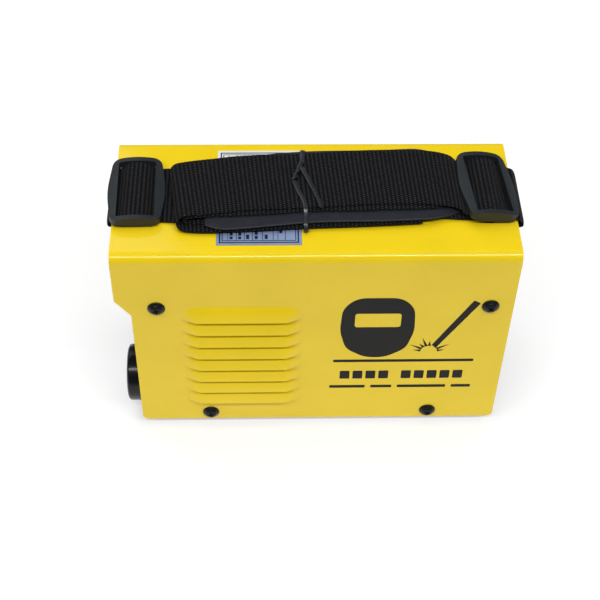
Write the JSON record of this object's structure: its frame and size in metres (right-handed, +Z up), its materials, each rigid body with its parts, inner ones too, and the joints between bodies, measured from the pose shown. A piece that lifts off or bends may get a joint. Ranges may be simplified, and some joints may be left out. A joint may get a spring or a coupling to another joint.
{
  "type": "stick welder",
  "caption": "Compact inverter stick welder in a folded yellow sheet-steel case with louvred sides, two cable sockets in front and a folded webbing shoulder strap on the roof.",
  "frame": {"origin": "on the surface the feet stand on, under the middle of the whole part's outline", "axes": "+X from the front panel with the sockets towards the rear panel with the fan, +Y towards the machine's left side, +Z up"},
  "size_m": [0.243, 0.1036, 0.167],
  "materials": {
    "case_yellow": "glossy yellow powder coat",
    "case_black": "satin black powder coat, fine texture",
    "screw_black": "black oxide, slightly oily",
    "zinc_steel": "zinc plated steel",
    "socket_plastic": "glossy black moulded plastic",
    "black_plastic": "matte black moulded plastic",
    "foot_rubber": "matte black rubber",
    "webbing": "coarse woven black polypropylene webbing",
    "shoulder_pad": "smooth dark slate rubber",
    "buckle_plastic": "matte dark grey moulded plastic",
    "tie_plastic": "glossy black plastic over a wire core",
    "brass_contact": "turned brass",
    "copper_bar": "bare copper, slightly tarnished",
    "aluminium": "extruded, plain",
    "circuit_board": "green solder mask",
    "ferrite": "dark grey ferrite",
    "winding_tape": "amber polyester tape",
    "enamelled_wire": "varnished copper wire",
    "capacitor_sleeve": "dark blue shrink sleeve",
    "component_black": "moulded epoxy",
    "label_film": "silver grey printed film",
    "display_lens": "smoked red tinted plastic",
    "lamp_green": "green moulded lens",
    "lamp_amber": "amber moulded lens"
  },
  "bodies": {
    "case": {"cover": "case_yellow", "base_tray": "case_black", "front_panel": "case_black", "rear_panel": "case_black", "foot_front_left": "foot_rubber", "foot_front_right": "foot_rubber", "foot_rear_left": "foot_rubber", "foot_rear_right": "foot_rubber", "cover_screw_right_upper_front": "screw_black", "cover_screw_right_lower_front": "screw_black", "cover_screw_right_lower_rear": "screw_black", "cover_screw_right_upper_rear": "screw_black", "cover_screw_left_upper_front": "screw_black", "cover_screw_left_lower_front": "screw_black", "cover_screw_left_lower_rear": "screw_black", "cover_screw_left_upper_rear": "screw_black", "socket_negative": "socket_plastic", "socket_negative_contact": "brass_contact", "socket_negative_nut": "zinc_steel", "busbar_negative": "copper_bar", "socket_positive": "socket_plastic", "socket_positive_contact": "brass_contact", "socket_positive_nut": "zinc_steel", "busbar_positive": "copper_bar", "potentiometer": "zinc_steel", "display_lens": "display_lens", "display_board": "circuit_board", "power_lamp": "lamp_green", "fault_lamp": "lamp_amber", "fan_frame": "black_plastic", "fan_screw_lower_right": "screw_black", "fan_screw_lower_left": "screw_black", "fan_screw_upper_right": "screw_black", "fan_screw_upper_left": "screw_black", "power_switch_body": "black_plastic", "cable_gland": "black_plastic", "cable_gland_cap": "black_plastic", "cable_gland_nut": "black_plastic", "main_board": "circuit_board", "heatsink_right": "aluminium", "heatsink_left": "aluminium", "transformer_core": "ferrite", "transformer_winding": "winding_tape", "output_choke": "enamelled_wire", "bus_capacitor_front": "capacitor_sleeve", "bus_capacitor_rear": "capacitor_sleeve", "bridge_rectifier": "component_black", "strap_front_loop": "webbing", "strap_rear_loop": "webbing", "strap_folds": "webbing", "strap_top_run": "webbing", "shoulder_pad": "shoulder_pad", "buckle_front": "buckle_plastic", "buckle_rear": "buckle_plastic", "twist_tie": "tie_plastic", "rating_label": "label_film"},
    "knob": {"current_knob": "black_plastic", "potentiometer_shaft": "aluminium"},
    "rocker": {"power_switch_rocker": "socket_plastic"},
    "fan": {"fan_rotor": "black_plastic"}
  },
  "joints": [
    {"name": "knob_turn", "type": "hinge", "parent": "case", "child": "knob", "pos_m": [-0.1085, 0.022, 0.123], "axis": [1, 0, 0], "range_deg": [-150, 150]},
    {"name": "switch_rock", "type": "hinge", "parent": "case", "child": "rocker", "pos_m": [0.1085, -0.022, 0.034], "axis": [0, 1, 0], "range_deg": [-20, 0]},
    {"name": "fan_spin", "type": "hinge", "parent": "case", "child": "fan", "pos_m": [0.0932, 0, 0.102], "axis": [1, 0, 0], "continuous": true}
  ]
}
